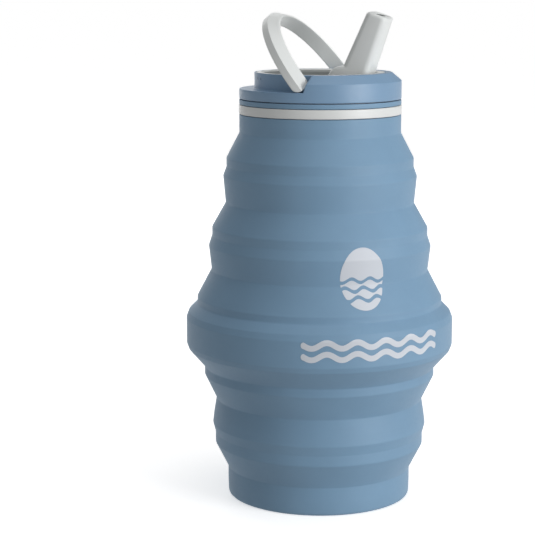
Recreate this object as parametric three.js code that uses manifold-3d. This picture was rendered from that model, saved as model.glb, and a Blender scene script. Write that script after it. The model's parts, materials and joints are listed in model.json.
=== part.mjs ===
// Folding water bottle: a stepped silicone body that collapses ring into ring,
// closed by a quick-turn screw lid with a flip-up spout and a swinging carry handle.
// Millimetres, +Z up. The origin is the centre of the base, on the surface the bottle stands on.
// The spout leans towards +X and the handle towards -X; both pivots lie along Y.

import * as THREE from 'three';
import { mergeVertices } from 'three/addons/utils/BufferGeometryUtils.js';
import Module from 'manifold-3d';

const wasm = await Module();
wasm.setup();

// ---------------------------------------------------------------- driving dimensions

const SEGMENTS = 40;              // facets round every large ring
const HALF_GAP = 0.15;            // half of the gap between neighbouring body zones

const RING_WALL = 2.2;            // silicone wall of the stiff rings
const FOLD_WALL = 1.2;            // silicone wall of the folds
const BODY_RADIUS = 63.5;         // the wide band, the widest part of the bottle
const BASE_RADIUS = 43.8;
const BASE_TOP = 13.6;
const BASE_FLOOR_TOP = 3.6;
const FOOT_RECESS = 1.2;          // height of the hollow under the base
const FOOT_INNER = 34.2;          // inside radius of the flat ring that the bottle stands on

const NECK_RADIUS = 38.1;         // neck, lid skirt and handle share this outer radius
const NECK_BOTTOM = 174.7;
const NECK_TOP = 190.2;           // top of the silicone lip, where the lid parts from the bottle
const NECK_BORE = 35.0;
const GROOVE_RADIUS = 36.3;       // floor of the groove that holds the neck ring
const GROOVE_BOTTOM = 183.2;
const GROOVE_TOP = 188.0;
const RING_GAP = 0.25;            // between the neck ring and its groove
const RING_PROUD = 0.15;          // the ring stands out this far from the neck

const INSERT_OUTER = 34.75;       // rigid threaded insert inside the silicone neck
const INSERT_BORE = 32.9;
const INSERT_BOTTOM = 176.0;
const INSERT_TOP = 189.2;

const THREAD_STARTS = 3;
const THREAD_LEAD = 12;           // rise in one turn of the lid
const THREAD_THICKNESS = 1.4;
const THREAD_ROOT = 0.3;          // each lug is sunk this far into its wall
const THREAD_ARC = THREE.MathUtils.degToRad(80);
const FEMALE_THREAD_CREST = 31.9;
const FEMALE_THREAD_START = 185.0;
const MALE_THREAD_CREST = 32.5;
const MALE_THREAD_START = FEMALE_THREAD_START - THREAD_LEAD / THREAD_STARTS / 2;

const PLUG_RADIUS = 31.4;         // the lid's plug, which turns inside the insert
const PLUG_BORE = 29.4;
const PLUG_BOTTOM = 178.0;
const PLUG_FLOOR_TOP = 179.8;
const FLANGE_RADIUS = 35.9;
const FLANGE_BOTTOM = 190.75;
const FLANGE_TOP = 192.3;
const GASKET_OUTER = 34.6;

const LID_BOTTOM = 190.6;
const LID_TOP = 202.9;
const SHOULDER_HEIGHT = 195.3;    // ledge on the handle's side of the lid
const CHAMFER_HEIGHT = 199.1;     // the spout's side rises to here before its chamfer
const CHAMFER_INNER = 33.6;
const COLLAR_OUTER = 31.0;        // upright wall round the tray
const COLLAR_INNER = 29.0;
const RIM_SEAT_RADIUS = 30.45;    // rebate that the tray's rim drops into
const RIM_SEAT_HEIGHT = 201.45;
const LID_CAVITY_RADIUS = 34.6;   // hollow above the flange, inside the lid's skirt
const LID_CAVITY_TOP = 193.5;
const HOOD_HOLLOW_RADIUS = 36.3;
const HOOD_HOLLOW_TOP = 201.2;
const VENT_HEIGHT = 200.4;
const VENT_ANGLES = [219, 225.4];

const TRAY_RADIUS = 26.4;         // inside radius of the spout's recess
const TRAY_OUTER = 28.6;
const TRAY_FLOOR = 189.4;
const TRAY_FLOOR_WALL = 1.6;
const TRAY_RIM_OUTER = 30.2;
const TRAY_RIM_INNER = 27.9;

const SPOUT_PIVOT_X = 18.2;
const SPOUT_PIVOT_Z = 197.5;
const SPOUT_LEAN = THREE.MathUtils.degToRad(18.7);   // of its outer face, from upright
const SPOUT_WIDTH = 16.0;
const SPOUT_LENGTH = 34.0;
const SPOUT_BARREL = 5.0;         // pivot to outer face, and radius of the hinge barrel
const WELL_RADIUS = 15.0;         // room under the pivot for the spout's heel to swing
const WELL_WALL = 1.4;
const WELL_HALF_WIDTH = 9.0;
const WELL_RIGHT = 24.7;
const CHEEK_LEFT = 13.0;          // the cheeks carry the spout's pin
const CHEEK_RIGHT = 23.0;
const CHEEK_TOP = 200.6;
const PIN_RADIUS = 1.2;
const PIN_HOLE = 1.5;
const PIN_HALF_LENGTH = 11.6;
const PORT_RADIUS = 2.4;

const HANDLE_PIVOT_X = 1.3;
const HANDLE_PIVOT_Z = 199.1;
const HANDLE_RAISED = THREE.MathUtils.degToRad(52.5);
const HANDLE_HALF_HEIGHT = 3.55;
const HANDLE_INNER = 33.0;
const NOTCH_LEAN = THREE.MathUtils.degToRad(18);     // of the lid wall that stops the handle
const NOTCH_CLEARANCE = 0.3;
const BOSS_RADIUS = 2.2;

const VALVE_X = -18.0;            // the vent valve sits in the plug's floor, under the closed spout's tip
const VALVE_UMBRELLA = 4.4;
const VALVE_STEM = 1.2;
const VALVE_BEAD = 2.0;           // holds the stem in its hole
const VALVE_STEM_HOLE = 1.5;
const VALVE_AIR_HOLES = 3;
const VALVE_AIR_HOLE = 0.6;
const VALVE_AIR_CIRCLE = 2.9;     // from the stem to each air hole

const SEAL_OUTER = 4.7;
const SEAL_HEIGHT = 1.2;
const SEAL_POCKET = 5.0;
const SMALL_GAP = 0.3;            // between neighbouring small parts

// ---------------------------------------------------------------- materials

function plastic(colour, roughness) {
  return new THREE.MeshStandardMaterial({ color: colour, roughness, metalness: 0 });
}

const blueSilicone = plastic(0x809bb9, 0.62);
const blueShell = plastic(0x7c98b7, 0.42);
const paleGrey = plastic(0xdfe1e0, 0.4);
const lightGrey = plastic(0xc6cac9, 0.45);
const clearSilicone = plastic(0xe6e8e8, 0.55);
const steel = new THREE.MeshStandardMaterial({ color: 0xb9bcc0, roughness: 0.3, metalness: 1 });

// ---------------------------------------------------------------- helpers

// A solid of revolution about +Z. The profile is a list of [radius, height] that runs up the
// outside and back down the inside; it either starts and ends on the axis or is closed here.
function revolve(profile, segments = SEGMENTS) {
  const startsOnAxis = profile[0][0] === 0;
  const closed = startsOnAxis ? profile : [...profile, profile[0]];
  const points = closed.map(([radius, height]) => new THREE.Vector2(radius, height));
  return new THREE.LatheGeometry(points, segments).rotateX(Math.PI / 2);
}

function cylinderAlongZ(radius, bottom, top, segments = 16) {
  const height = top - bottom;
  const cylinder = new THREE.CylinderGeometry(radius, radius, height, segments);
  return cylinder.rotateX(Math.PI / 2).translate(0, 0, bottom + height / 2);
}

function cylinderAlongY(radius, halfLength, segments = 24) {
  return new THREE.CylinderGeometry(radius, radius, 2 * halfLength, segments);
}

function boxBetween(low, high) {
  const size = high.map((value, axis) => value - low[axis]);
  const centre = high.map((value, axis) => (value + low[axis]) / 2);
  return new THREE.BoxGeometry(...size).translate(...centre);
}

// A closed geometry as a solid that can be joined and cut.
function solid(geometry) {
  const bare = geometry.clone();
  bare.deleteAttribute('normal');
  bare.deleteAttribute('uv');
  const merged = mergeVertices(bare, 1e-4);
  const corners = merged.index.array;
  const kept = [];
  for (let i = 0; i < corners.length; i += 3) {
    const [a, b, c] = [corners[i], corners[i + 1], corners[i + 2]];
    if (a !== b && b !== c && c !== a) {
      kept.push(a, b, c);
    }
  }
  return new wasm.Manifold(new wasm.Mesh({
    numProp: 3,
    vertProperties: new Float32Array(merged.attributes.position.array),
    triVerts: new Uint32Array(kept),
  }));
}

function geometryOf(body) {
  const mesh = body.getMesh();
  const geometry = new THREE.BufferGeometry();
  geometry.setAttribute('position', new THREE.BufferAttribute(mesh.vertProperties, 3));
  geometry.setIndex(new THREE.BufferAttribute(mesh.triVerts, 1));
  geometry.computeVertexNormals();
  return geometry;
}

function joined(...geometries) {
  return geometries.map(solid).reduce((whole, piece) => whole.add(piece));
}

function cut(body, ...geometries) {
  return geometries.map(solid).reduce((rest, tool) => rest.subtract(tool), body);
}

// One thread lug: a tapered bar wrapped round a right-hand helix.
function threadLug(rootRadius, crestRadius, startAngle, startHeight) {
  const steps = 8;
  const bar = new THREE.BoxGeometry(1, 1, 1, steps, 1, 1);
  const position = bar.attributes.position;
  const crestShare = 0.6;
  for (let i = 0; i < position.count; i += 1) {
    const along = position.getX(i) + 0.5;
    const outward = crestRadius > rootRadius ? 0.5 - position.getY(i) : 0.5 + position.getY(i);
    const radius = THREE.MathUtils.lerp(rootRadius, crestRadius, outward);
    const thickness = THREAD_THICKNESS * THREE.MathUtils.lerp(1, crestShare, outward);
    const turned = THREAD_ARC * along;
    const height = startHeight + THREAD_LEAD * turned / (2 * Math.PI) + position.getZ(i) * thickness;
    const angle = startAngle + turned;
    position.setXYZ(i, radius * Math.cos(angle), radius * Math.sin(angle), height);
  }
  return bar;
}

function threadLugs(rootRadius, crestRadius, startHeight) {
  const lugs = [];
  for (let start = 0; start < THREAD_STARTS; start += 1) {
    const angle = start * 2 * Math.PI / THREAD_STARTS;
    lugs.push(threadLug(rootRadius, crestRadius, angle, startHeight));
  }
  return lugs;
}

const bottle = new THREE.Group();

function addPart(name, geometry, material, place = { x: 0, z: 0, turn: 0 }) {
  const mesh = new THREE.Mesh(geometry, material);
  mesh.name = name;
  mesh.position.set(place.x, 0, place.z);
  mesh.rotation.y = place.turn;
  bottle.add(mesh);
}

// ---------------------------------------------------------------- silicone body

// The body is one moulding. Its outline alternates stiff rings with thinner folds that turn
// inside out, so each stretch is a node of its own. Points are [outer radius, height], upwards.
// The band keeps the shoulder above it, which stays facing outwards when the bottle is flat.
const BODY_ZONES = [
  ['fold_5', FOLD_WALL, [[BASE_RADIUS, BASE_TOP], [49.9, 25.5], [49.9, 30.5], [51.1, 35.0]]],
  ['lower_ring', RING_WALL, [[51.1, 35.0], [50.5, 40.0], [49.3, 47.4]]],
  ['fold_4', FOLD_WALL, [[49.3, 47.4], [55.0, 59.2], [54.9, 63.2], [57.3, 66.0], [62.6, 72.0]]],
  ['wide_band', RING_WALL, [
    [62.6, 72.0], [BODY_RADIUS, 74.5], [BODY_RADIUS, 86.7], [62.4, 89.6],
    [59.4, 92.6], [58.2, 93.6], [58.2, 96.7],
  ]],
  ['fold_3', FOLD_WALL, [[58.2, 96.7], [51.4, 109.6]]],
  ['middle_ring', RING_WALL, [[51.4, 109.6], [52.7, 121.2]]],
  ['fold_2', FOLD_WALL, [[52.7, 121.2], [51.1, 126.0], [51.1, 129.9], [44.6, 141.4]]],
  ['upper_ring', RING_WALL, [[44.6, 141.4], [45.8, 154.3]]],
  ['fold_1', FOLD_WALL, [[45.8, 154.3], [44.2, 158.6], [44.2, 162.8], [NECK_RADIUS, NECK_BOTTOM]]],
];

function bodyZone(outline, wall) {
  const outer = outline.map(([radius, height]) => [radius, height]);
  outer[0][1] += HALF_GAP;
  outer[outer.length - 1][1] -= HALF_GAP;
  const inner = outer.map(([radius, height]) => [radius - wall, height]).reverse();
  return revolve([...outer, ...inner]);
}

const baseFloor = revolve([
  [0, FOOT_RECESS],
  [FOOT_INNER - 1.2, FOOT_RECESS],
  [FOOT_INNER, 0],
  [BASE_RADIUS - 2, 0],
  [BASE_RADIUS, 2],
  [BASE_RADIUS, BASE_FLOOR_TOP],
  [0, BASE_FLOOR_TOP],
]);
addPart('base_floor', baseFloor, blueSilicone);

const baseWall = revolve([
  [BASE_RADIUS, BASE_FLOOR_TOP + 2 * HALF_GAP],
  [BASE_RADIUS, BASE_TOP - HALF_GAP],
  [BASE_RADIUS - RING_WALL, BASE_TOP - HALF_GAP],
  [BASE_RADIUS - RING_WALL, BASE_FLOOR_TOP + 2 * HALF_GAP],
]);
addPart('base_wall', baseWall, blueSilicone);

for (const [name, wall, outline] of BODY_ZONES) {
  addPart(name, bodyZone(outline, wall), blueSilicone);
}

const neckSleeve = revolve([
  [NECK_RADIUS, NECK_BOTTOM + HALF_GAP],
  [NECK_RADIUS, GROOVE_BOTTOM],
  [GROOVE_RADIUS, GROOVE_BOTTOM],
  [GROOVE_RADIUS, GROOVE_TOP],
  [NECK_RADIUS, GROOVE_TOP],
  [NECK_RADIUS, NECK_TOP],
  [NECK_BORE, NECK_TOP],
  [NECK_BORE, NECK_BOTTOM + HALF_GAP],
]);
addPart('neck_sleeve', neckSleeve, blueSilicone);

// ---------------------------------------------------------------- neck fittings

const neckRing = revolve([
  [NECK_RADIUS + RING_PROUD, GROOVE_BOTTOM + RING_GAP],
  [NECK_RADIUS + RING_PROUD, GROOVE_TOP - RING_GAP],
  [GROOVE_RADIUS + RING_GAP, GROOVE_TOP - RING_GAP],
  [GROOVE_RADIUS + RING_GAP, GROOVE_BOTTOM + RING_GAP],
]);
addPart('neck_ring', neckRing, paleGrey);

const insertTube = revolve([
  [INSERT_OUTER, INSERT_BOTTOM],
  [INSERT_OUTER, INSERT_TOP],
  [INSERT_BORE, INSERT_TOP],
  [INSERT_BORE, INSERT_BOTTOM],
]);
const femaleLugs = threadLugs(INSERT_BORE + THREAD_ROOT, FEMALE_THREAD_CREST, FEMALE_THREAD_START);
addPart('thread_insert', geometryOf(joined(insertTube, ...femaleLugs)), paleGrey);

// ---------------------------------------------------------------- lid

const lidGasket = revolve([
  [GASKET_OUTER, INSERT_TOP + 0.25],
  [GASKET_OUTER, FLANGE_BOTTOM - SMALL_GAP],
  [PLUG_RADIUS + 0.4, FLANGE_BOTTOM - SMALL_GAP],
  [PLUG_RADIUS + 0.4, INSERT_TOP + 0.25],
]);
addPart('lid_gasket', lidGasket, clearSilicone);

function lidBase() {
  const cup = revolve([
    [0, PLUG_BOTTOM],
    [PLUG_RADIUS - 1, PLUG_BOTTOM],
    [PLUG_RADIUS, PLUG_BOTTOM + 1],
    [PLUG_RADIUS, FLANGE_BOTTOM],
    [FLANGE_RADIUS, FLANGE_BOTTOM],
    [FLANGE_RADIUS, FLANGE_TOP],
    [PLUG_BORE, FLANGE_TOP],
    [PLUG_BORE, PLUG_FLOOR_TOP],
    [0, PLUG_FLOOR_TOP],
  ]);
  const wellBottom = SPOUT_PIVOT_Z - WELL_RADIUS - WELL_WALL;
  const portBoss = cylinderAlongZ(PORT_RADIUS + 2, PLUG_BOTTOM + 0.5, wellBottom - SMALL_GAP);
  portBoss.translate(SPOUT_PIVOT_X, 0, 0);
  const portHole = cylinderAlongZ(PORT_RADIUS, PLUG_BOTTOM - 1, wellBottom + 1);
  portHole.translate(SPOUT_PIVOT_X, 0, 0);
  const stemHole = cylinderAlongZ(VALVE_STEM_HOLE, PLUG_BOTTOM - 1, PLUG_FLOOR_TOP + 1);
  stemHole.translate(VALVE_X, 0, 0);
  const airHoles = [];
  for (let i = 0; i < VALVE_AIR_HOLES; i += 1) {
    const angle = i * 2 * Math.PI / VALVE_AIR_HOLES;
    const hole = cylinderAlongZ(VALVE_AIR_HOLE, PLUG_BOTTOM - 1, PLUG_FLOOR_TOP + 1, 8);
    const across = VALVE_AIR_CIRCLE * Math.sin(angle);
    airHoles.push(hole.translate(VALVE_X + VALVE_AIR_CIRCLE * Math.cos(angle), across, 0));
  }
  const lugs = threadLugs(PLUG_RADIUS - THREAD_ROOT, MALE_THREAD_CREST, MALE_THREAD_START);
  return cut(joined(cup, portBoss, ...lugs), portHole, stemHole, ...airHoles);
}
addPart('lid_base', geometryOf(lidBase()), blueShell);

// An umbrella valve that lets air into the bottle as the water is drunk.
const ventValve = revolve([
  [0, PLUG_BOTTOM - 1.9],
  [0.6 * VALVE_UMBRELLA, PLUG_BOTTOM - 1.8],
  [VALVE_UMBRELLA, PLUG_BOTTOM - 0.8],
  [VALVE_UMBRELLA, PLUG_BOTTOM - SMALL_GAP],
  [VALVE_STEM, PLUG_BOTTOM - SMALL_GAP],
  [VALVE_STEM, PLUG_FLOOR_TOP + SMALL_GAP],
  [VALVE_BEAD, PLUG_FLOOR_TOP + 2 * SMALL_GAP],
  [0, PLUG_FLOOR_TOP + 2.6],
], 20);
ventValve.translate(VALVE_X, 0, 0);
addPart('vent_valve', ventValve, clearSilicone);

// Everything on the handle's side of the slanted wall that the handle swings up against.
function handleSide(shift) {
  const reach = 200;
  const block = boxBetween([-reach, -reach, -reach], [0, reach, reach]);
  const distance = HANDLE_HALF_HEIGHT + NOTCH_CLEARANCE + shift;
  block.translate(distance, 0, 0);
  block.rotateY(NOTCH_LEAN);
  return block.translate(HANDLE_PIVOT_X, 0, HANDLE_PIVOT_Z);
}

function lidShell() {
  const skirtAndCollar = revolve([
    [NECK_RADIUS, LID_BOTTOM],
    [NECK_RADIUS, SHOULDER_HEIGHT],
    [COLLAR_OUTER, SHOULDER_HEIGHT],
    [COLLAR_OUTER, LID_TOP],
    [RIM_SEAT_RADIUS, LID_TOP],
    [RIM_SEAT_RADIUS, RIM_SEAT_HEIGHT],
    [COLLAR_INNER, RIM_SEAT_HEIGHT],
    [COLLAR_INNER, LID_CAVITY_TOP],
    [LID_CAVITY_RADIUS, LID_CAVITY_TOP],
    [LID_CAVITY_RADIUS, FLANGE_TOP + SMALL_GAP],
    [FLANGE_RADIUS + SMALL_GAP, FLANGE_TOP + SMALL_GAP],
    [FLANGE_RADIUS + SMALL_GAP, LID_BOTTOM],
  ]);
  const hood = revolve([
    [NECK_RADIUS, SHOULDER_HEIGHT - 1],
    [NECK_RADIUS, CHAMFER_HEIGHT],
    [CHAMFER_INNER, LID_TOP],
    [RIM_SEAT_RADIUS, LID_TOP],
    [RIM_SEAT_RADIUS, SHOULDER_HEIGHT - 1],
  ]);
  const hoodHollow = revolve([
    [LID_CAVITY_RADIUS, LID_CAVITY_TOP - 1.5],
    [LID_CAVITY_RADIUS, SHOULDER_HEIGHT],
    [HOOD_HOLLOW_RADIUS, SHOULDER_HEIGHT + 1.3],
    [HOOD_HOLLOW_RADIUS, CHAMFER_HEIGHT - 0.7],
    [CHAMFER_INNER - 0.5, HOOD_HOLLOW_TOP],
    [COLLAR_OUTER + 0.2, HOOD_HOLLOW_TOP],
    [COLLAR_OUTER + 0.2, LID_CAVITY_TOP - 1.5],
  ]);
  const endWall = 1.8;
  const spoutSideHood = solid(hood).subtract(solid(handleSide(0)));
  const spoutSideHollow = solid(hoodHollow).subtract(solid(handleSide(endWall)));
  const shell = solid(skirtAndCollar).add(spoutSideHood).subtract(spoutSideHollow);
  const bossHole = cylinderAlongY(BOSS_RADIUS + 0.3, 34).translate(HANDLE_PIVOT_X, 0, HANDLE_PIVOT_Z);
  const ventHoles = VENT_ANGLES.map((degrees) => {
    const drill = new THREE.CylinderGeometry(0.45, 0.45, 6, 8).rotateZ(Math.PI / 2);
    drill.translate(COLLAR_OUTER - 1, 0, VENT_HEIGHT);
    return drill.rotateZ(THREE.MathUtils.degToRad(degrees));
  });
  return cut(shell, bossHole, ...ventHoles);
}
addPart('lid_shell', geometryOf(lidShell()), blueShell);

function spoutTray() {
  const bowl = revolve([
    [0, TRAY_FLOOR - TRAY_FLOOR_WALL],
    [TRAY_OUTER, TRAY_FLOOR - TRAY_FLOOR_WALL],
    [TRAY_OUTER, RIM_SEAT_HEIGHT + 0.3],
    [TRAY_RIM_OUTER, RIM_SEAT_HEIGHT + 0.3],
    [TRAY_RIM_OUTER, LID_TOP],
    [TRAY_RIM_INNER, LID_TOP],
    [TRAY_RADIUS + 0.2, LID_TOP - 1.5],
    [TRAY_RADIUS, TRAY_FLOOR],
    [0, TRAY_FLOOR],
  ]);
  const wellShell = solid(cylinderAlongY(WELL_RADIUS + WELL_WALL, WELL_HALF_WIDTH + WELL_WALL, 32)
    .translate(SPOUT_PIVOT_X, 0, SPOUT_PIVOT_Z))
    .intersect(solid(boxBetween([-5, -20, 170], [WELL_RIGHT + WELL_WALL, 20, TRAY_FLOOR])));
  const cheekBlocks = joined(
    boxBetween([CHEEK_LEFT, WELL_HALF_WIDTH, TRAY_FLOOR - 1], [CHEEK_RIGHT, 30, CHEEK_TOP]),
    boxBetween([CHEEK_LEFT, -30, TRAY_FLOOR - 1], [CHEEK_RIGHT, -WELL_HALF_WIDTH, CHEEK_TOP]),
  );
  const cheeks = cheekBlocks.intersect(solid(cylinderAlongZ(TRAY_OUTER - 0.8, 180, 210, SEGMENTS)));
  const well = solid(cylinderAlongY(WELL_RADIUS, WELL_HALF_WIDTH, 32)
    .translate(SPOUT_PIVOT_X, 0, SPOUT_PIVOT_Z))
    .intersect(solid(boxBetween([-5, -20, 170], [WELL_RIGHT, 20, 230])));
  const pinHole = cylinderAlongY(PIN_HOLE, PIN_HALF_LENGTH + 0.4, 16);
  pinHole.translate(SPOUT_PIVOT_X, 0, SPOUT_PIVOT_Z);
  const sealPocket = cylinderAlongZ(SEAL_POCKET, SPOUT_PIVOT_Z - WELL_RADIUS - 0.2, 190, 20);
  sealPocket.translate(SPOUT_PIVOT_X, 0, 0);
  const port = cylinderAlongZ(PORT_RADIUS, 175, 185).translate(SPOUT_PIVOT_X, 0, 0);
  const body = solid(bowl).add(wellShell).add(cheeks).subtract(well);
  return cut(body, pinHole, sealPocket, port);
}
addPart('spout_tray', geometryOf(spoutTray()), lightGrey);

const sealBottom = SPOUT_PIVOT_Z - WELL_RADIUS + 0.1;
const portSeal = revolve([
  [SEAL_OUTER, sealBottom],
  [SEAL_OUTER, sealBottom + SEAL_HEIGHT],
  [PORT_RADIUS + 0.2, sealBottom + SEAL_HEIGHT],
  [PORT_RADIUS + 0.2, sealBottom],
], 20);
portSeal.translate(SPOUT_PIVOT_X, 0, 0);
addPart('port_seal', portSeal, clearSilicone);

const spoutPin = cylinderAlongY(PIN_RADIUS, PIN_HALF_LENGTH, 16);
spoutPin.translate(SPOUT_PIVOT_X, 0, SPOUT_PIVOT_Z);
addPart('spout_pin', spoutPin, steel);

// ---------------------------------------------------------------- spout

// Side view about the pivot: x is out of the outer face, y runs up to the drinking end.
// The outer face is tangent to the barrel, and the heel below shuts the port when closed.
function spoutOutline() {
  const outline = new THREE.Shape();
  outline.moveTo(SPOUT_BARREL, 0);
  outline.lineTo(SPOUT_BARREL, SPOUT_LENGTH - 1.6);
  outline.quadraticCurveTo(SPOUT_BARREL, SPOUT_LENGTH, 3.6, SPOUT_LENGTH);
  outline.lineTo(-3.2, SPOUT_LENGTH);
  outline.quadraticCurveTo(-4.5, SPOUT_LENGTH, -4.8, SPOUT_LENGTH - 1.4);
  outline.lineTo(-7.4, 6.5);
  outline.bezierCurveTo(-10.4, 5.6, -13.2, 3.4, -13.2, 0);
  outline.bezierCurveTo(-13.2, -3.2, -11.2, -4.4, -8.5, -4.6);
  outline.lineTo(0, -SPOUT_BARREL);
  outline.absarc(0, 0, SPOUT_BARREL, -Math.PI / 2, 0, false);
  return outline;
}

function spout() {
  const depth = { depth: SPOUT_WIDTH, bevelEnabled: false, curveSegments: 5 };
  const block = new THREE.ExtrudeGeometry(spoutOutline(), depth);
  block.rotateX(Math.PI / 2).translate(0, SPOUT_WIDTH / 2, 0);
  const drinkingEnd = new THREE.Vector3(0.1, 0, SPOUT_LENGTH + 1);
  const elbow = new THREE.Vector3(-3.9, 0, 3.5);
  const inlet = new THREE.Vector3(-13.6, 0, -2.5);
  const channel = passage(elbow, drinkingEnd, 3.1, 6);
  const intake = passage(inlet, elbow, 2.2, 2.2);
  return cut(solid(block), channel, intake, cylinderAlongY(PIN_HOLE, SPOUT_WIDTH, 16));
}

// A straight passage between two points in the XZ plane, with its two half widths.
function passage(from, to, halfThickness, halfWidth) {
  const along = new THREE.Vector3().subVectors(to, from);
  const tool = new THREE.CylinderGeometry(1, 1, along.length(), 16);
  tool.scale(halfThickness, 1, halfWidth);
  tool.rotateX(Math.PI / 2);
  tool.rotateY(Math.atan2(along.x, along.z));
  const middle = new THREE.Vector3().addVectors(from, to).multiplyScalar(0.5);
  return tool.translate(middle.x, middle.y, middle.z);
}
addPart('spout', geometryOf(spout()), lightGrey, {
  x: SPOUT_PIVOT_X,
  z: SPOUT_PIVOT_Z,
  turn: SPOUT_LEAN,
});

// ---------------------------------------------------------------- handle

// Modelled lying flat round the collar, with its pivot at the origin, then raised.
function handle() {
  const half = HANDLE_HALF_HEIGHT;
  const chamferInner = CHAMFER_INNER + 0.3;
  const hoop = revolve([
    [NECK_RADIUS, -half],
    [NECK_RADIUS, CHAMFER_HEIGHT - HANDLE_PIVOT_Z],
    [chamferInner, half],
    [HANDLE_INNER, half],
    [HANDLE_INNER, -half],
  ]);
  hoop.translate(-HANDLE_PIVOT_X, 0, 0);
  const arms = boxBetween([-60, -60, -20], [0, 60, 20]);
  const roundEnds = cylinderAlongY(half, 60, 24);
  const loop = solid(hoop).intersect(solid(arms).add(solid(roundEnds)));
  const bossTip = COLLAR_INNER + 0.6;
  const bossRoot = HANDLE_INNER + 0.6;
  const bosses = [-1, 1].map((side) => {
    const boss = cylinderAlongY(BOSS_RADIUS, (bossRoot - bossTip) / 2, 16);
    return boss.translate(0, side * (bossRoot + bossTip) / 2, 0);
  });
  return loop.add(joined(...bosses));
}
addPart('handle', geometryOf(handle()), lightGrey, {
  x: HANDLE_PIVOT_X,
  z: HANDLE_PIVOT_Z,
  turn: HANDLE_RAISED,
});

export default bottle;
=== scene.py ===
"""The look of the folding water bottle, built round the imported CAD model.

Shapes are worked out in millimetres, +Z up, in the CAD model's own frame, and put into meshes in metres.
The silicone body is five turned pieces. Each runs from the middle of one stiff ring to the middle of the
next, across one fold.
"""

import json
import math

import bmesh
import bpy
import numpy as np
from mathutils import Matrix, Vector

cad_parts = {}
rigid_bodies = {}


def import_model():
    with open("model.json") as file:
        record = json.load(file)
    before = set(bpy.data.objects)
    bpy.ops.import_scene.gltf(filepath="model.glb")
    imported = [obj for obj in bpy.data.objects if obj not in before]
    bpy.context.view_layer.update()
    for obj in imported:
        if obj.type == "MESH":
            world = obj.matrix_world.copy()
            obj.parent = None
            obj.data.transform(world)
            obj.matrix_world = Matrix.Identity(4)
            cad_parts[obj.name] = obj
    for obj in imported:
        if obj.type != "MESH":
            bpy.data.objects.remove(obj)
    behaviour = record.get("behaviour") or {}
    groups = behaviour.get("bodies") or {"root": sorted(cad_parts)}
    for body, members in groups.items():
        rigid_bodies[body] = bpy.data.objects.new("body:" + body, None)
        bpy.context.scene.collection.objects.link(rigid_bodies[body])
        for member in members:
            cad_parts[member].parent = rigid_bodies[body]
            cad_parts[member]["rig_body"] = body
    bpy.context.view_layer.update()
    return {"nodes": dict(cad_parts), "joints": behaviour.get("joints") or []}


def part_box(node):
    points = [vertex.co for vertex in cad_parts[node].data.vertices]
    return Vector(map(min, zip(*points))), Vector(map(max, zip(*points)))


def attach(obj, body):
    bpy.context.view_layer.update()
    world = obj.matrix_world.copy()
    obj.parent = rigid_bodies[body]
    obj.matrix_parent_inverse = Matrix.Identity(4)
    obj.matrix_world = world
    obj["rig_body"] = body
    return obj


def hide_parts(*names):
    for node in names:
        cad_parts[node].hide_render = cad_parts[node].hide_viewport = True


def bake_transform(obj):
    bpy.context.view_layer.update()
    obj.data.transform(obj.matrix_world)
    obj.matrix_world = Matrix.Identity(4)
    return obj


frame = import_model()

MM = 0.001
SEGMENTS = 176            # facets round a large ring
JOINTS = {joint["name"]: joint for joint in frame["joints"]}

# ------------------------------------------------------------------ driving dimensions, millimetres

RINGS = ["base_wall", "lower_ring", "wide_band", "middle_ring", "upper_ring", "neck_sleeve"]
FOLDS = ["fold_5", "fold_4", "fold_3", "fold_2", "fold_1"]
RING_WALL = 2.2
FOLD_WALL = 1.2
BODY_FILLET = 1.5         # rounding of the body's corners
ROW_STEP = 0.7            # rows of faces along the folds, close enough to bend smoothly

FOOT_INNER = 34.2
FOOT_RECESS = 1.2
FOOT_FILLET = 1.9         # rounding of the foot's outer edge
BASE_WALL_RISE = 3.4      # the side wall starts this far above the inside of the base
MOUTH_RADIUS = 35.0       # bore of the silicone neck, which holds the threaded insert
GROOVE_DEPTH = 1.8        # of the groove that holds the neck ring
GROOVE_GAP = 0.25         # above and below the neck ring

SKIRT_WALL = 1.9
COLLAR_OUTER = 31.0
COLLAR_INNER = 29.0
COLLAR_SEAT = 201.45      # the tray's rim sits here, in a step in the collar
SEAT_RADIUS = 30.45
ROOF_UNDERSIDE = 193.5    # inside of the lid shell, above the plug's flange
SHOULDER = 195.3          # ledge on the handle's side of the lid
CHAMFER_START = 199.1
CHAMFER_INNER = 33.6
NOTCH_LEAN = math.radians(18)
NOTCH_GAP = 0.3
NOTCH_EDGE = 0.4          # rounding of the notch wall's edges

HANDLE_HALF = 3.55        # half of the handle's height
HANDLE_INNER = 33.0
BOSS_RADIUS = 2.2         # of the two bosses that the handle turns on
BOSS_LENGTH = 4.0
BOSS_STEP = 0.3           # each boss steps in by this at its ends
BOSS_MIDDLE = 31.6        # from the lid's axis to the middle of each boss

SPOUT_LEAN = math.radians(18.7)
SPOUT_LENGTH = 34.0
SPOUT_HALF_WIDTH = 8.0
SPOUT_BARREL = 5.0
SPOUT_CORNER = 2.8
SPOUT_TIP = 1.5           # rounding of the drinking end
BORE_HALF_DEPTH = 2.5     # of the drinking hole, out of the spout's face and across it
BORE_HALF_WIDTH = 4.3

TRAY_RADIUS = 26.4
TRAY_FLOOR = 189.4
TRAY_BOTTOM = 187.8
WELL_RADIUS = 15.0
WELL_HALF_WIDTH = 9.0

VENT_HEIGHT = 200.4       # of the two air holes in the collar
VENT_ANGLES = (219.0, 225.4)
VALVE_X = -18.0

BAND_PRINT = math.radians(-47)      # azimuth and height of the middle of each print
BAND_PRINT_HEIGHT = 82.4
OVAL_PRINT = math.radians(-50)
OVAL_PRINT_HEIGHT = 113.0
INK_HEIGHT = 0.10         # the print stands this far off the silicone


def extent(node):
    """Radius, bottom and top of a CAD node, in millimetres."""
    low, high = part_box(node)
    return max(high.x, high.y) / MM, low.z / MM, high.z / MM


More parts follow.
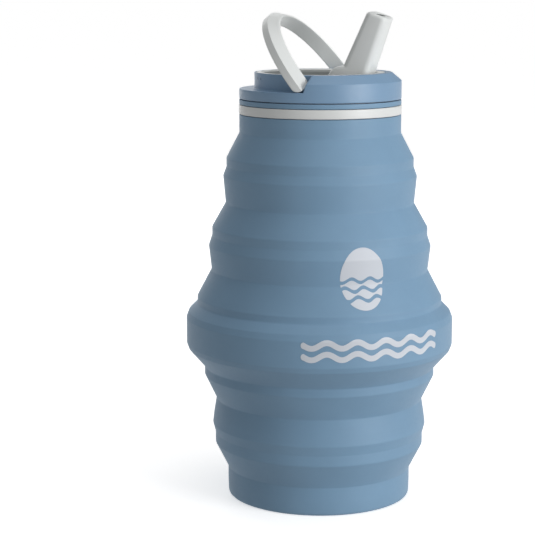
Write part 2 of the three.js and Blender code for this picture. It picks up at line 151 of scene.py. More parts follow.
def pivot(joint):
    return Vector(JOINTS[joint]["pos_m"]) / MM


NECK_RADIUS, SLEEVE_BOTTOM, NECK_TOP = extent("neck_sleeve")
BASE_RADIUS, _, BASE_FLOOR = extent("base_floor")
RING_RADIUS, RING_BOTTOM, RING_TOP = extent("neck_ring")
_, LID_BOTTOM, LID_TOP = extent("lid_shell")
SPOUT_PIVOT = pivot("spout_flip")
HANDLE_PIVOT = pivot("handle_swing")
HANDLE_RAISED = -math.radians(JOINTS["handle_swing"]["range_deg"][0])

# ------------------------------------------------------------------ meshes


def finish_mesh(name, bm, mat, sharp=32):
    """The bmesh, in millimetres, as an object in metres that remembers where each point lies at rest."""
    bmesh.ops.remove_doubles(bm, verts=bm.verts, dist=1e-4)
    bmesh.ops.recalc_face_normals(bm, faces=bm.faces)
    mesh = bpy.data.meshes.new(name)
    bm.to_mesh(mesh)
    bm.free()
    mesh.transform(Matrix.Scale(MM, 4))
    mesh.shade_smooth()
    mesh.set_sharp_from_angle(angle=math.radians(sharp))
    rest = mesh.attributes.new("rest", "FLOAT_VECTOR", "POINT")
    places = np.array([v.co for v in mesh.vertices], np.float32) / MM
    rest.data.foreach_set("vector", places.ravel())
    obj = bpy.data.objects.new(name, mesh)
    bpy.context.scene.collection.objects.link(obj)
    mesh.materials.append(mat)
    return obj


def add_rows(bm, rows, wrap=True):
    """Faces between neighbouring rows of points. Every row has as many points as the others."""
    made = [[bm.verts.new(p) for p in row] for row in rows]
    count = len(made[0])
    for low, high in zip(made, made[1:]):
        for i in range(count if wrap else count - 1):
            j = (i + 1) % count
            bm.faces.new((low[i], low[j], high[j], high[i]))
    return made


def rounded(points, radius, steps=5):
    """An open outline of (r, z) points with its corners rounded. radius is one number, or one a point."""
    radii = [radius] * len(points) if isinstance(radius, (int, float)) else radius
    corners = [np.array(p, float) for p in points]
    outline = [corners[0]]
    for before, corner, after, wanted in zip(corners, corners[1:], corners[2:], radii[1:]):
        to_before, to_after = before - corner, after - corner
        reach_before, reach_after = np.linalg.norm(to_before), np.linalg.norm(to_after)
        to_before, to_after = to_before / reach_before, to_after / reach_after
        half = math.acos(float(np.clip(to_before @ to_after, -1, 1))) / 2
        if wanted <= 0 or half > math.radians(89.6):
            outline.append(corner)
            continue
        cut = min(wanted / math.tan(half), 0.48 * reach_before, 0.48 * reach_after)
        start, end = corner + to_before * cut, corner + to_after * cut
        for step in range(steps + 1):
            t = step / steps
            outline.append((1 - t) ** 2 * start + 2 * t * (1 - t) * corner + t * t * end)
    outline.append(corners[-1])
    return outline


def turned(bm, profile, segments=SEGMENTS, closed=True):
    """Turns (r, z) points about +Z. A profile that starts and ends on the axis is left open."""
    rings = []
    for r, z in profile:
        if r < 1e-6:
            rings.append([bm.verts.new((0, 0, z))])
            continue
        angles = [2 * math.pi * i / segments for i in range(segments)]
        rings.append([bm.verts.new((r * math.cos(a), r * math.sin(a), z)) for a in angles])
    pairs = list(zip(rings, rings[1:]))
    if closed:
        pairs.append((rings[-1], rings[0]))
    for low, high in pairs:
        for i in range(segments):
            j = (i + 1) % segments
            face = [low[i % len(low)], low[j % len(low)], high[j % len(high)], high[i % len(high)]]
            face = list(dict.fromkeys(face))
            if len(face) > 2:
                bm.faces.new(face)


def turned_piece(name, profile, mat, segments=SEGMENTS, at=None, along_y=False):
    """A turned object, moved to a place, or laid along Y."""
    bm = bmesh.new()
    on_axis = profile[0][0] < 1e-6 and profile[-1][0] < 1e-6
    turned(bm, profile, segments, closed=not on_axis)
    if along_y:
        bmesh.ops.rotate(bm, verts=bm.verts, matrix=Matrix.Rotation(-math.pi / 2, 3, "X"))
    if at is not None:
        bmesh.ops.translate(bm, verts=bm.verts, vec=at)
    return finish_mesh(name, bm, mat)


def cut_away(obj, cutter_bm):
    """Cuts a shape, given in millimetres, out of an object."""
    mesh = bpy.data.meshes.new("cutter")
    bmesh.ops.recalc_face_normals(cutter_bm, faces=cutter_bm.faces)
    cutter_bm.to_mesh(mesh)
    cutter_bm.free()
    mesh.transform(Matrix.Scale(MM, 4))
    cutter = bpy.data.objects.new("cutter", mesh)
    bpy.context.scene.collection.objects.link(cutter)
    boolean = obj.modifiers.new("cut", "BOOLEAN")
    boolean.operation = "DIFFERENCE"
    boolean.solver = "EXACT"
    boolean.object = cutter
    result = bpy.data.meshes.new_from_object(obj.evaluated_get(bpy.context.evaluated_depsgraph_get()))
    obj.modifiers.clear()
    obj.data = result
    bpy.data.objects.remove(cutter)
    result.set_sharp_from_angle(angle=math.radians(32))


def box_bm(low, high):
    bm = bmesh.new()
    bmesh.ops.create_cube(bm, size=1)
    low, high = Vector(low), Vector(high)
    for v in bm.verts:
        v.co = Vector(((v.co[k] + 0.5) * (high[k] - low[k]) + low[k]) for k in range(3))
    return bm


# ------------------------------------------------------------------ materials


def material(name, colour, roughness, mottle=0.03, grain=0.02, grain_scale=9.0, **sockets):
    """Moulded plastic or silicone: a faint drift of colour, uneven gloss and a fine moulded grain."""
    mat = bpy.data.materials.new(name)
    mat.use_nodes = True
    nodes, links = mat.node_tree.nodes, mat.node_tree.links
    shader = nodes["Principled BSDF"]
    for socket, value in sockets.items():
        shader.inputs[socket.replace("_", " ")].default_value = value

    place = nodes.new("ShaderNodeAttribute")
    place.attribute_name = "rest"

    def noise(scale, detail):
        node = nodes.new("ShaderNodeTexNoise")
        node.inputs["Scale"].default_value = scale
        node.inputs["Detail"].default_value = detail
        links.new(place.outputs["Vector"], node.inputs["Vector"])
        return node.outputs["Fac"]

    def ranged(value, low, high):
        node = nodes.new("ShaderNodeMapRange")
        node.inputs["From Min"].default_value = 0.3
        node.inputs["From Max"].default_value = 0.7
        node.inputs["To Min"].default_value = low
        node.inputs["To Max"].default_value = high
        links.new(value, node.inputs["Value"])
        return node.outputs["Result"]

    drift = nodes.new("ShaderNodeMix")
    drift.data_type = "RGBA"
    drift.inputs["A"].default_value = (*[c * (1 - mottle) for c in colour], 1)
    drift.inputs["B"].default_value = (*[min(1, c * (1 + mottle)) for c in colour], 1)
    links.new(ranged(noise(0.05, 3), 0, 1), drift.inputs["Factor"])
    links.new(drift.outputs["Result"], shader.inputs["Base Color"])
    links.new(ranged(noise(0.6, 4), roughness - 0.05, roughness + 0.05), shader.inputs["Roughness"])

    bump = nodes.new("ShaderNodeBump")
    bump.inputs["Strength"].default_value = 0.25
    bump.inputs["Distance"].default_value = grain * MM
    links.new(noise(grain_scale, 2), bump.inputs["Height"])
    links.new(bump.outputs["Normal"], shader.inputs["Normal"])
    return mat


def srgb(*values):
    """8-bit screen values as the linear colour that a shader takes."""
    return tuple(((v / 255 + 0.055) / 1.055) ** 2.4 for v in values)


SILICONE = material("blue_silicone", srgb(119, 153, 181), 0.56, 0.03, 0.03, 7.0,
                    Sheen_Weight=0.10, Sheen_Roughness=0.5, Specular_IOR_Level=0.4)
SHELL = material("blue_shell", srgb(121, 153, 183), 0.42, 0.02, 0.015, 11.0)
PALE = material("pale_grey", srgb(221, 223, 222), 0.42, 0.012, 0.012, 11.0)
GREY = material("light_grey", srgb(228, 231, 230), 0.36, 0.015, 0.015, 11.0)
# painted shade: a darker copy of the pale tray plastic, for the shade inside the tray
SHADED_BOWL = material("tray_painted_shade", srgb(146, 150, 149), 0.46, 0.015, 0.015, 11.0)
# painted shade: the spout's grey plastic darkened inside the drinking hole, in place of the shade there
BORE_SHADE = material("bore_painted_shade", srgb(112, 116, 115), 0.6, 0.02, 0.015, 11.0)
CLEAR = material("clear_silicone", srgb(216, 218, 218), 0.5, 0.02, 0.02, 7.0)
STEEL = material("steel", srgb(186, 189, 193), 0.3, 0.03, 0.01, 14.0, Metallic=1.0)
INK = material("print", srgb(206, 211, 219), 0.6, 0.03, 0.02, 8.0)
VENT = material("vent_shadow", srgb(44, 60, 78), 0.7, 0.05, 0.01, 8.0)

# ------------------------------------------------------------------ silicone body


def node_outline(node):
    """Outer (r, z) points of a turned CAD node, upwards, in millimetres."""
    widest = {}
    for v in frame["nodes"][node].data.vertices:
        height = round(v.co.z / MM, 2)
        widest[height] = max(widest.get(height, 0.0), math.hypot(v.co.x, v.co.y) / MM)
    return [(r, z) for z, r in sorted(widest.items())]


def body_outline():
    """The whole body's outer outline from the base to the neck, with rounded corners."""
    corners = []
    for ring, fold in zip(RINGS, FOLDS):
        corners += node_outline(ring) + node_outline(fold)
    corners.append((NECK_RADIUS, RING_BOTTOM - 2))
    kept = [corners[0]]
    for r, z in corners[1:]:
        if z - kept[-1][1] < 0.5:
            kept[-1] = ((r + kept[-1][0]) / 2, (z + kept[-1][1]) / 2)
        else:
            kept.append((r, z))
    return np.array(rounded(kept, BODY_FILLET, steps=6))


OUTLINE = body_outline()


def outer_radius(z):
    return float(np.interp(z, OUTLINE[:, 1], OUTLINE[:, 0]))


def wall(z):
    """Wall thickness: thin in the folds and thicker in the rings."""
    heights, walls = [], []
    for fold in FOLDS:
        _, low, high = extent(fold)
        heights += [low - 0.8, low + 0.8, high - 0.8, high + 0.8]
        walls += [RING_WALL, FOLD_WALL, FOLD_WALL, RING_WALL]
    return float(np.interp(z, heights, walls))


def rows_between(low, high):
    """Heights from low to high: the outline's own points, and more where they are far apart."""
    inside = [z for z in OUTLINE[:, 1] if low < z < high]
    steps = np.linspace(low, high, int((high - low) / ROW_STEP) + 2)
    merged = sorted(set(np.round(np.concatenate([inside, steps]), 3)))
    kept = [merged[0]]
    for z in merged[1:]:
        if z - kept[-1] > 0.12:
            kept.append(z)
    kept[-1] = high
    return kept


def ring_middle(ring):
    _, low, high = extent(ring)
    return (low + high) / 2


def bend(piece):
    """Bakes a piece's placement into its mesh."""
    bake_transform(piece)


def body_piece(index):
    """One stretch of the silicone body, across one fold."""
    below, fold, above = RINGS[index], FOLDS[index], RINGS[index + 1]
    first, last = index == 0, index == len(FOLDS) - 1
    low = BASE_FLOOR + BASE_WALL_RISE if first else ring_middle(below)
    high = RING_BOTTOM - 2 if last else ring_middle(above)
    heights = rows_between(low, high)
    outer = [(outer_radius(z), z) for z in heights]
    inner = [(outer_radius(z) - wall(z), z) for z in reversed(heights)]
    if first:
        foot = [(0, FOOT_RECESS), (FOOT_INNER - 1.2, FOOT_RECESS), (FOOT_INNER, 0),
                (BASE_RADIUS - 0.2, 0), (BASE_RADIUS, low)]
        floor = [inner[-1], (inner[-1][0], BASE_FLOOR), (0, BASE_FLOOR)]
        profile = rounded(foot, [0, 0.5, 0.5, FOOT_FILLET, 0]) + outer + inner + rounded(floor, [0, 3.0, 0])
    elif last:
        groove_low, groove_high = RING_BOTTOM - GROOVE_GAP, RING_TOP + GROOVE_GAP
        groove_root = NECK_RADIUS - GROOVE_DEPTH
        met = 8      # the inner wall's row at which the widened mouth runs into it
        lip = [outer[-1], (NECK_RADIUS, groove_low), (groove_root, groove_low),
               (groove_root, groove_high), (NECK_RADIUS, groove_high),
               (NECK_RADIUS, NECK_TOP), (MOUTH_RADIUS, NECK_TOP), (MOUTH_RADIUS, SLEEVE_BOTTOM), inner[met]]
        lip = rounded(lip, [0, 0.3, 0, 0, 0.25, 0.35, 0.35, 0.4, 0], steps=3)
        profile = outer[:-1] + lip + inner[met + 1:]
        profile = [p for i, p in enumerate(profile)
                   if i == 0 or np.hypot(*(np.array(p) - profile[i - 1])) > 1e-3]
    else:
        profile = outer + inner
    piece = turned_piece(f"body_{index + 1}", profile, SILICONE)
    bend(piece)
    replaced = [fold, below] + (["base_floor"] if first else []) + ([above] if last else [])
    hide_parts(*replaced)


# ------------------------------------------------------------------ print on the body


def band_waves(s, z):
    """Two bold parallel waves with rounded ends, for the band."""
    reach, swing, length, apart, thickness = 34.6, 1.3, 13.84, 2.6, 2.6
    held = math.copysign(min(abs(s), reach), s)
    phase = 2 * math.pi * held / length
    slope = swing * 2 * math.pi / length * math.cos(phase)
    beyond = abs(s) - abs(held)
    nearest = min(abs(z - row - swing * math.sin(phase)) for row in (-apart, apart))
    return thickness / 2 - math.hypot(nearest / math.hypot(1, slope), beyond)


def sun_on_water(s, z):
    """A plain oval with three lines of water across its lower half."""
    half_width, half_height = 10.6, 13.9
    oval = (1 - math.hypot(s / half_width, z / half_height)) * half_width
    swing, length, half_gap = 0.9, 8.8, 0.8
    gaps = [abs(z - level - swing * math.sin(2 * math.pi * s / length + level)) - half_gap
            for level in (-1.0, -5.0, -9.0)]
    return min(oval, *gaps)


def printed(name, ink, azimuth, centre, half_width, low, high):
    """A thin print that follows the body's outline. ink(s, z) is positive where there is ink."""
    step = 0.36
    radius = outer_radius(centre)
    columns = np.linspace(-half_width, half_width, int(2 * half_width / step) + 1)
    rows = np.linspace(low, high, int((high - low) / step) + 1)
    value = [[ink(s, z - centre) for s in columns] for z in rows]
    bm = bmesh.new()
    corners = {}

    def corner(s, z):
        key = (round(s, 4), round(z, 4))
        if key not in corners:
            angle = azimuth + s / radius
            corners[key] = [bm.verts.new((r * math.cos(angle), r * math.sin(angle), z))
                            for r in (outer_radius(z) + INK_HEIGHT, outer_radius(z) - INK_HEIGHT)]
        return key

    edges = set()
    for i in range(len(rows) - 1):
        for j in range(len(columns) - 1):
            cell = [(i, j), (i, j + 1), (i + 1, j + 1), (i + 1, j)]
            loop = []
            for (a, b), (c, d) in zip(cell, cell[1:] + cell[:1]):
                here, there = value[a][b], value[c][d]
                if here > 0:
                    loop.append(corner(columns[b], rows[a]))
                if (here > 0) != (there > 0):
                    t = here / (here - there)
                    loop.append(corner(columns[b] + t * (columns[d] - columns[b]),
                                       rows[a] + t * (rows[c] - rows[a])))
            loop = list(dict.fromkeys(loop))
            if len(loop) > 2:
                bm.faces.new([corners[k][0] for k in loop])
                bm.faces.new([corners[k][1] for k in reversed(loop)])
                edges.update(zip(loop, loop[1:] + loop[:1]))
    for a, b in edges:
        if (b, a) not in edges:
            bm.faces.new((corners[a][1], corners[b][1], corners[b][0], corners[a][0]))
    return finish_mesh(name, bm, INK, sharp=50)


def prints():
    """The band's print rides the band. The oval spans two folds, so it is parted in the ring between them."""
    half_height = 5.6
    piece = printed("band_print", band_waves, BAND_PRINT, BAND_PRINT_HEIGHT, 36.2,
                    BAND_PRINT_HEIGHT - half_height, BAND_PRINT_HEIGHT + half_height)
    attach(piece, "band")
    half_height, parting = 14.1, ring_middle("middle_ring")
    for name, fold, low, high in (("oval_print_low", 2, OVAL_PRINT_HEIGHT - half_height, parting),
                                  ("oval_print_high", 3, parting, OVAL_PRINT_HEIGHT + half_height)):
        piece = printed(name, sun_on_water, OVAL_PRINT, OVAL_PRINT_HEIGHT, 10.8, low, high)
        bend(piece)


# ------------------------------------------------------------------ neck


def thread(name, body, root, crest, bottom, mat):
    """Three right-hand thread lugs that run out at their ends."""
    lead, arc, steps = 12.0, math.radians(80), 36
    bm = bmesh.new()
    for start in range(3):
        rows = []
        for i in range(steps + 1):
            t = i / steps
            angle = start * 2 * math.pi / 3 + arc * t
            height = bottom + lead * arc * t / (2 * math.pi)
            rise = min(1.0, t / 0.12, (1 - t) / 0.12)
            rise = max(0.02, rise * rise * (3 - 2 * rise))
            tip = root + (crest - root) * rise
            section = [(root, -0.7), (tip, -0.42 * rise), (tip, 0.42 * rise), (root, 0.7)]
            rows.append([(r * math.cos(angle), r * math.sin(angle), height + dz) for r, dz in section])
        made = add_rows(bm, rows)
        bm.faces.new(made[0])
        bm.faces.new(made[-1])
    piece = finish_mesh(name, bm, mat)
    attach(piece, body)
    return piece


def neck_parts():
    middle, ring_inner = (RING_BOTTOM + RING_TOP) / 2, NECK_RADIUS - 1.5
    ring = [(RING_RADIUS, middle), (RING_RADIUS, RING_TOP), (ring_inner, RING_TOP),
            (ring_inner, RING_BOTTOM), (RING_RADIUS, RING_BOTTOM), (RING_RADIUS, middle - 0.01)]
    piece = turned_piece("neck_ring_look", rounded(ring, [0, 0.45, 0.2, 0.2, 0.45, 0]), PALE)
    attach(piece, "neck")
    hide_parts("neck_ring")

    outer, bottom, top = extent("thread_insert")
    bore = outer - 1.85
    middle = (bottom + top) / 2
    tube = [(outer, middle), (outer, top), (bore, top), (bore, bottom), (outer, bottom),
            (outer, middle - 0.01)]
    piece = turned_piece("thread_insert_look", rounded(tube, [0, 0.4, 0.4, 0.3, 0.3, 0]), PALE)
    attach(piece, "neck")
    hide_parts("thread_insert")
    thread("female_thread", "neck", bore + 0.1, bore - 1.0, 185.0, PALE)

    radius, low, high = extent("lid_gasket")
    middle = (low + high) / 2
    bore = 31.8
    ring = [(radius, middle), (radius, high), (bore, high), (bore, low), (radius, low),
            (radius, middle - 0.01)]
    piece = turned_piece("lid_gasket_look", rounded(ring, [0, 0.4, 0.4, 0.4, 0.4, 0]), CLEAR)
    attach(piece, "lid_lifter")
    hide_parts("lid_gasket")


# ------------------------------------------------------------------ lid


def notch_angle(r, z):
    """Angle from +X at which the slanted wall that stops the handle crosses this radius and height."""
    distance = HANDLE_HALF + NOTCH_GAP + (z - HANDLE_PIVOT.z) * math.sin(NOTCH_LEAN)
    return math.acos((HANDLE_PIVOT.x + distance / math.cos(NOTCH_LEAN)) / r)


def paired(first, second, first_anchor, second_anchor):
    """Two outlines with as many points each, so that their starts, anchors and ends fall together."""
    shares, outlines = [], []
    for outline, anchor in ((first, first_anchor), (second, second_anchor)):
        points = np.array(outline)
        along = np.concatenate([[0], np.cumsum(np.linalg.norm(np.diff(points, axis=0), axis=1))])
        middle = along[np.argmin(np.linalg.norm(points - np.array(anchor), axis=1))]
        past = 0.5 + 0.5 * (along - middle) / (along[-1] - middle)
        share = np.where(along < middle, 0.5 * along / middle, past)
        shares.append(share)
        outlines.append(points)
    everywhere = np.unique(np.round(np.concatenate(shares + [np.linspace(0, 1, 17)]), 4))
    return [np.stack([np.interp(everywhere, share, points[:, k]) for k in (0, 1)], axis=1)
            for share, points in zip(shares, outlines)]


def lid_sections():
    """Closed (r, z) sections of the lid on the handle's side and on the spout's side, point for point."""
    inside = NECK_RADIUS - SKIRT_WALL
    seam_low, seam_high = (NECK_RADIUS, SHOULDER - 1.0), (COLLAR_OUTER - 0.3, LID_TOP)
    skirt = rounded([(inside, LID_BOTTOM + 2), (inside, LID_BOTTOM), (NECK_RADIUS, LID_BOTTOM), seam_low],
                    [0, 0.2, 0.45, 0])
    ledge = rounded([seam_low, (NECK_RADIUS, SHOULDER), (COLLAR_OUTER, SHOULDER),
                     (COLLAR_OUTER, LID_TOP), seam_high], [0, 0.5, 0.5, 0.25, 0])
    hood = rounded([seam_low, (NECK_RADIUS, CHAMFER_START), (CHAMFER_INNER, LID_TOP), seam_high],
                   [0, 0.6, 0.5, 0])
    seat = rounded([seam_high, (SEAT_RADIUS, LID_TOP), (SEAT_RADIUS, COLLAR_SEAT),
                    (COLLAR_INNER, COLLAR_SEAT), (COLLAR_INNER, ROOF_UNDERSIDE), (inside, ROOF_UNDERSIDE)],
                   [0, 0.12, 0, 0.2, 0.3, 0])
    ledge, hood = paired(ledge, hood, (COLLAR_OUTER, SHOULDER), (CHAMFER_INNER, LID_TOP))
    return [np.concatenate([skirt[:-1], top, seat[1:]]) for top in (ledge, hood)]


def lid_shell():
    """Skirt, collar and hood in one skin. The hood ends at slanted walls with rounded edges."""
    low_side, high_side = lid_sections()
    reach = np.linalg.norm(high_side - low_side, axis=1)
    towards_high = (high_side - low_side) / np.maximum(reach, 1e-9)[:, None]
    steps, arcs = 112, 5

    def column(section, shift, side):
        row = []
        for r, z in section:
            angle = side * (notch_angle(r, z) - shift / r)
            row.append((r * math.cos(angle), r * math.sin(angle), z))
        return row

    def notch_wall(side):
        """Columns down the notch wall, from the hood to the ledge."""
        upper, lower = [], []
        for i in range(1, arcs + 1):
            a = math.pi / 2 * i / arcs
            inset = towards_high * np.minimum(NOTCH_EDGE * (1 - math.cos(a)), 0.45 * reach)[:, None]
            shift = NOTCH_EDGE * (1 - math.sin(a))
            upper.append(column(high_side - inset, shift, side))
            lower.append(column(low_side + inset, -shift, side))
        return upper + lower[::-1]

    def sweep(section, turn_from, turn_to):
        """Columns between two angles that vary from point to point of the section."""
        rows = []
        for i in range(steps + 1):
            row = []
            for r, z in section:
                start, end = turn_from(r, z), turn_to(r, z)
                angle = start + (end - start) * i / steps
                row.append((r * math.cos(angle), r * math.sin(angle), z))
            rows.append(row)
        return rows

    def hood_end(r, z):
        return notch_angle(r, z) - NOTCH_EDGE / r

    def ledge_start(r, z):
        return notch_angle(r, z) + NOTCH_EDGE / r

    rows = sweep(high_side, lambda r, z: -hood_end(r, z), hood_end)
    rows += notch_wall(1)
    rows += sweep(low_side, ledge_start, lambda r, z: 2 * math.pi - ledge_start(r, z))
    rows += notch_wall(-1)[::-1]
    bm = bmesh.new()
    add_rows(bm, rows + rows[:1])
    piece = finish_mesh("lid_shell_look", bm, SHELL)
    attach(piece, "lid")
    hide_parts("lid_shell")


def vent_holes():
    """Two pin holes in the collar, as shallow dark dishes."""
    for index, degrees in enumerate(VENT_ANGLES):
        dish = [(0, -0.25), (0.30, -0.22), (0.42, 0.02), (0.52, 0.06), (0.58, -0.3), (0, -0.32)]
        angle = math.radians(degrees)
        bm = bmesh.new()
        turned(bm, dish, 24, closed=False)
        outward = Vector((math.cos(angle), math.sin(angle), 0))
        turn = outward.to_track_quat("Z", "Y").to_matrix()
        bmesh.ops.rotate(bm, verts=bm.verts, matrix=turn)
        bmesh.ops.translate(bm, verts=bm.verts, vec=outward * COLLAR_OUTER + Vector((0, 0, VENT_HEIGHT)))
        piece = finish_mesh(f"vent_hole_{index + 1}", bm, VENT)
        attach(piece, "lid")


def lid_plug():
    bottom, inner_floor = 178, 179.8
    outer, inner = 31.4, 29.4
    flange_radius, flange_low, flange_high = 35.9, 190.75, 192.3
    plug = [(0, bottom), (outer, bottom), (outer, flange_low), (flange_radius, flange_low),
            (flange_radius, flange_high), (inner, flange_high), (inner, inner_floor), (0, inner_floor)]
    piece = turned_piece("lid_base_look", rounded(plug, [0, 1.0, 0.4, 0.3, 0.3, 0.4, 0.8, 0]), SHELL)
    drill = bmesh.new()
    port = 2.4        # radius of the hole that lets water up into the spout
    bmesh.ops.create_cone(drill, cap_ends=True, segments=48, radius1=port, radius2=port, depth=6,
                          matrix=Matrix.Translation((SPOUT_PIVOT.x, 0, (bottom + inner_floor) / 2)))
    cut_away(piece, drill)
    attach(piece, "lid")
    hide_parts("lid_base")
    thread("male_thread", "lid", 31.3, 32.5, 183.0, SHELL)

    valve = [(0, 176.1), (2.6, 176.2), (4.4, 177.2), (4.4, 177.7), (1.2, 177.7), (1.2, 180.1), (2.0, 180.4),
             (0.9, 182.2), (0, 182.4)]
    piece = turned_piece("vent_valve_look", rounded(valve, [0, 0.8, 0.3, 0.2, 0.2, 0.2, 0.4, 0.3, 0]), CLEAR,
                         48, at=(VALVE_X, 0, 0))
    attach(piece, "lid")
    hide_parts("vent_valve")


# ------------------------------------------------------------------ tray


def tray():
    top = LID_TOP
    rim_foot, rim_ledge = 201.0, COLLAR_SEAT + 0.3
    wall_outer, rim_outer = COLLAR_INNER - 0.4, SEAT_RADIUS - 0.25
    rim = [(wall_outer, rim_foot), (wall_outer, rim_ledge), (rim_outer, rim_ledge), (rim_outer, top),
           (27.9, top), (27.35, top - 0.62), (27.9, rim_foot)]
    piece = turned_piece("tray_rim", rounded(rim, [0, 0, 0.1, 0.35, 0.35, 0.1, 0]), PALE,
                         segments=208)
    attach(piece, "lid")
    wall_top = rim_foot - 0.1
    profile = [(0, TRAY_BOTTOM), (wall_outer, TRAY_BOTTOM), (wall_outer, wall_top), (27.8, wall_top),
               (27.3, top - 0.68), (TRAY_RADIUS + 0.2, top - 1.5), (TRAY_RADIUS, TRAY_FLOOR),
               (0, TRAY_FLOOR)]
    # The bowl, the well below it and the cheeks take the painted shade grey.
    bowl = turned_piece("spout_tray_look", rounded(profile, [0, 0.6, 0, 0, 0.1, 0.6, 2.0, 0]), SHADED_BOWL,
                        segments=208)
    mouth_low, mouth_high = 5.6, 24.7      # where the well opens in the bowl's floor, along X
    cut_away(bowl, box_bm((mouth_low, -WELL_HALF_WIDTH, TRAY_BOTTOM - 1.8),
                          (mouth_high, WELL_HALF_WIDTH, TRAY_FLOOR + 2.6)))
    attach(bowl, "lid")
    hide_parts("spout_tray")

    well = finish_mesh("spout_well", box_bm((4.4, -10.4, 181.3), (26.1, 10.4, 189.2)), SHADED_BOWL)
    pocket = bmesh.new()
    bmesh.ops.create_cone(pocket, cap_ends=True, segments=96, radius1=WELL_RADIUS, radius2=WELL_RADIUS,
                          depth=2 * WELL_HALF_WIDTH,
                          matrix=Matrix.Translation(SPOUT_PIVOT) @ Matrix.Rotation(math.pi / 2, 4, "X"))
    cut_away(well, pocket)
    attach(well, "lid")

    for side, name in ((1, "cheek_left"), (-1, "cheek_right")):
        bm = bmesh.new()
        near, far = 13, 23
        stops = np.linspace(near, far, 10)
        plan = [(x, side * WELL_HALF_WIDTH) for x in (near, far)]
        plan += [(x, side * (math.sqrt((TRAY_RADIUS + 0.4) ** 2 - x * x))) for x in reversed(stops)]
        rows = [[(x, y, z) for x, y in plan] for z in (189.0, 200.6)]
        made = add_rows(bm, rows)
        bm.faces.new(made[0])
        bm.faces.new(made[-1])
        edges = [e for e in bm.edges if e.is_valid and all(v.co.z > 200 for v in e.verts)]
        bmesh.ops.bevel(bm, geom=edges, offset=0.7, segments=4, affect="EDGES", profile=0.6)
        piece = finish_mesh(name, bm, SHADED_BOWL)
        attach(piece, "lid")

    seal = [(4.7, 183.2), (4.7, 183.8), (2.6, 183.8), (2.6, 182.6), (4.7, 182.6), (4.7, 183.19)]
    piece = turned_piece("port_seal_look", rounded(seal, [0, 0.3, 0.3, 0.3, 0.3, 0]), CLEAR,
                         48, at=(SPOUT_PIVOT.x, 0, 0))
    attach(piece, "lid")
    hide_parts("port_seal")

    pin = [(0, -11.6), (1.2, -11.6), (1.2, 11.6), (0, 11.6)]
    piece = turned_piece("spout_pin_look", rounded(pin, [0, 0.3, 0.3, 0]), STEEL, 40, at=SPOUT_PIVOT,
                         along_y=True)
    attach(piece, "lid")
    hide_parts("spout_pin")


# ------------------------------------------------------------------ spout


def bezier(a, b, c, d, steps=14):
    points = []
    for i in range(steps + 1):
        t = i / steps
        weights = ((1 - t) ** 3, 3 * t * (1 - t) ** 2, 3 * t * t * (1 - t), t ** 3)
        points.append(sum(w * np.array(p, float) for w, p in zip(weights, (a, b, c, d))))
    return points


HEEL = (bezier((-8.5, -4.6), (-11.2, -4.4), (-13.2, -3.2), (-13.2, 0))
        + bezier((-13.2, 0), (-13.2, 3.4), (-10.4, 5.8), (-7.7, 6.5))[1:] + [np.array((-5.1, SPOUT_LENGTH))])


def rounded_rectangle(low, high, half_width, corner, steps=7):
    """A loop of (x, y) points, always as many, whatever the size."""
    corner = min(corner, (high - low) * 0.46, half_width * 0.9)
    loop = []
    left, right, side = low + corner, high - corner, half_width - corner
    for quarter, (cx, cy) in enumerate(((right, side), (left, side), (left, -side), (right, -side))):
        for i in range(steps + 1):
            a = math.pi / 2 * (quarter + i / steps)
            loop.append((cx + corner * math.cos(a), cy + corner * math.sin(a)))
    return loop


def spout():
    """Lofted in its own frame: x out of the outer face, z along its length, with the pivot at the origin."""
    heel_z, heel_x = [p[1] for p in HEEL], [p[0] for p in HEEL]
    heights = list(np.linspace(-4.6, 6.5, 26)) + list(np.linspace(7.5, SPOUT_LENGTH - SPOUT_TIP, 26))
    rows = []

    def section(z, inset):
        low = float(np.interp(z, heel_z, heel_x)) + inset
        high = (math.sqrt(SPOUT_BARREL ** 2 - z * z) if z < 0 else SPOUT_BARREL) - inset
        half = SPOUT_HALF_WIDTH - 0.5 * max(z, 0) / SPOUT_LENGTH - inset
        return [(x, y, z) for x, y in rounded_rectangle(low, high, half, SPOUT_CORNER - inset * 0.4)]

    for z in heights:
        rows.append(section(z, 0.0))
    for i in range(1, 8):
        a = math.pi / 2 * i / 7
        height = SPOUT_LENGTH - SPOUT_TIP * (1 - math.sin(a))
        rows.append(section(height, SPOUT_TIP * 0.8 * (1 - math.cos(a))))

    middle_x = float(np.mean([p[0] for p in rows[-1]]))
    rim = rows[-1]

    def oval(scale, z):
        """A loop of the drinking hole, point for point with the spout's own sections."""
        loop = []
        for x, y, _ in rim:
            a = math.atan2(y / BORE_HALF_WIDTH, (x - middle_x) / BORE_HALF_DEPTH)
            out = BORE_HALF_DEPTH * scale * math.cos(a)
            across = BORE_HALF_WIDTH * scale * math.sin(a)
            loop.append((middle_x + out, across, z))
        return loop

    mouth = [oval(1.12, SPOUT_LENGTH), oval(1.04, SPOUT_LENGTH - 0.12), oval(1.0, SPOUT_LENGTH - 0.45),
             oval(0.9, SPOUT_LENGTH - 16)]
    bm = bmesh.new()
    made = add_rows(bm, rows + mouth)
    bm.faces.new(made[0])
    bm.faces.new(made[-1])
    # the drinking hole's inside faces take the painted shade grey
    inside = {v for loop in made[-2:] for v in loop}
    for face in bm.faces:
        face.material_index = 1 if inside.issuperset(face.verts) else 0
    bmesh.ops.rotate(bm, verts=bm.verts, matrix=Matrix.Rotation(SPOUT_LEAN, 3, "Y"))
    bmesh.ops.translate(bm, verts=bm.verts, vec=SPOUT_PIVOT)
    piece = finish_mesh("spout_look", bm, GREY, sharp=40)
    piece.data.materials.append(BORE_SHADE)
    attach(piece, "spout")
    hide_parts("spout")


# ------------------------------------------------------------------ handle


